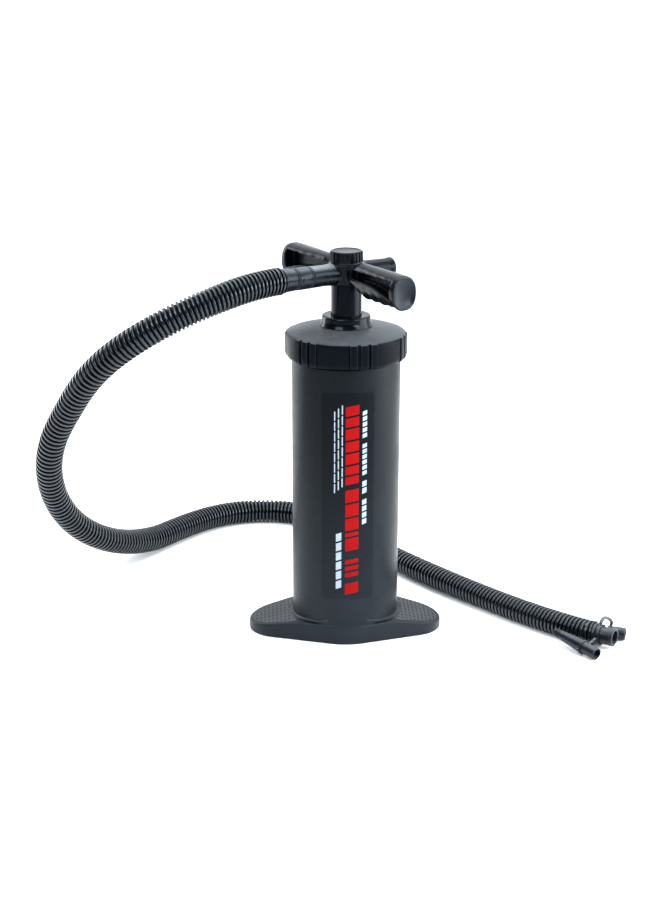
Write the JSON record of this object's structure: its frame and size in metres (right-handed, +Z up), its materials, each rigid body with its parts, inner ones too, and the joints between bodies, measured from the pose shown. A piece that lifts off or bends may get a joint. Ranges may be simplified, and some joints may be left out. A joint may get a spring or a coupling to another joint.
{
  "type": "double action hand pump",
  "caption": "Hand air pump: a tapered barrel on a foot with treads, a screw cap, a rod with a two-grip handle, and a corrugated hose with tethered nozzle adapters.",
  "frame": {"origin": "centre of the barrel and foot on the surface the foot stands on", "axes": "+Z up along the barrel and rod; +X along the foot's two treads; +Y away from the side the hose leaves by"},
  "size_m": [0.5642, 0.4298, 0.37],
  "materials": {
    "barrel": "fine satin moulding grain",
    "cap": "fine satin moulding grain",
    "guide": "polished",
    "rod": "polished, oiled",
    "handle": "satin",
    "knob": "satin",
    "inner_plastic": "plain moulded",
    "rubber": "smooth",
    "screw": "plain",
    "fitting": "satin",
    "hose": "smooth corrugated",
    "strap": "smooth"
  },
  "bodies": {
    "barrel": {"barrel": "barrel"},
    "cap_gasket": {"cap_gasket": "rubber"},
    "cap": {"screw_cap": "cap", "rod_guide_collar": "guide", "rod_seal": "rubber"},
    "turning_set": {"hose_floor_run": "hose", "hose_end_fitting": "fitting", "tether_ring": "fitting", "short_adapter_strap": "strap", "cone_adapter_strap": "strap"},
    "plunger": {"piston_rod": "rod", "inner_air_tube": "inner_plastic", "piston_lower_shell": "inner_plastic", "piston_divider": "inner_plastic", "piston_upper_shell": "inner_plastic", "piston_seal_ring": "rubber", "piston_screw_1": "screw", "piston_screw_2": "screw", "piston_screw_3": "screw", "piston_screw_4": "screw", "handle": "handle", "hose_connector": "fitting", "hose_riser": "hose"},
    "knob_washer": {"knob_washer": "rubber"},
    "knob": {"top_knob": "knob"},
    "lock_ring": {"hose_lock_ring": "fitting"},
    "intake_flap_top": {"intake_flap_top": "rubber"},
    "intake_flap_bottom": {"intake_flap_bottom": "rubber"},
    "delivery_flap_top": {"delivery_flap_top": "rubber"},
    "delivery_flap_bottom": {"delivery_flap_bottom": "rubber"},
    "cone_adapter": {"cone_adapter": "fitting"},
    "short_adapter": {"short_adapter": "fitting"}
  },
  "joints": [
    {"name": "cap_lift", "type": "slide", "parent": "barrel", "child": "cap_gasket", "axis": [0, 0, 1], "range_m": [0, 0.0102]},
    {"name": "cap_turn", "type": "hinge", "parent": "cap_gasket", "child": "cap", "pos_m": [0, 0, 0.28], "axis": [0, 0, 1], "range_deg": [0, 720]},
    {"name": "handle_turn", "type": "hinge", "parent": "barrel", "child": "turning_set", "pos_m": [0, 0, 0.3], "axis": [0, 0, 1], "continuous": true},
    {"name": "plunger_slide", "type": "slide", "parent": "turning_set", "child": "plunger", "axis": [0, 0, 1], "range_m": [0, 0.235], "deforming": ["hose_riser"]},
    {"name": "knob_lift", "type": "slide", "parent": "plunger", "child": "knob_washer", "axis": [0, 0, 1], "range_m": [0, 0.0041]},
    {"name": "knob_turn", "type": "hinge", "parent": "knob_washer", "child": "knob", "pos_m": [0, 0, 0.362], "axis": [0, 0, 1], "range_deg": [0, 720]},
    {"name": "lock_ring_turn", "type": "hinge", "parent": "plunger", "child": "lock_ring", "pos_m": [0, 0, 0.3489], "axis": [-0.8599, -0.5105, 0], "range_deg": [0, 45]},
    {"name": "intake_flap_top_lift", "type": "slide", "parent": "plunger", "child": "intake_flap_top", "axis": [0, 0, 1], "range_m": [0, 0.0015], "stiffness_N_per_m": 20},
    {"name": "intake_flap_bottom_lift", "type": "slide", "parent": "plunger", "child": "intake_flap_bottom", "axis": [0, 0, 1], "range_m": [-0.0015, 0], "stiffness_N_per_m": 20},
    {"name": "delivery_flap_top_lift", "type": "slide", "parent": "plunger", "child": "delivery_flap_top", "axis": [0, 0, 1], "range_m": [-0.0015, 0], "stiffness_N_per_m": 20},
    {"name": "delivery_flap_bottom_lift", "type": "slide", "parent": "plunger", "child": "delivery_flap_bottom", "axis": [0, 0, 1], "range_m": [0, 0.0015], "stiffness_N_per_m": 20},
    {"name": "cone_adapter_swing", "type": "hinge", "parent": "turning_set", "child": "cone_adapter", "pos_m": [0.2293, -0.0758, 0.0106], "axis": [0, 0, 1], "range_deg": [0, 20]},
    {"name": "short_adapter_swing", "type": "hinge", "parent": "turning_set", "child": "short_adapter", "pos_m": [0.252, -0.044, 0.014], "axis": [0, 0, 1], "range_deg": [-15, 20]}
  ],
  "couplings": [
    {"joint": "cap_lift", "follows": "cap_turn", "m_per_rad": 0.00079577},
    {"joint": "knob_lift", "follows": "knob_turn", "m_per_rad": 0.00031831}
  ]
}
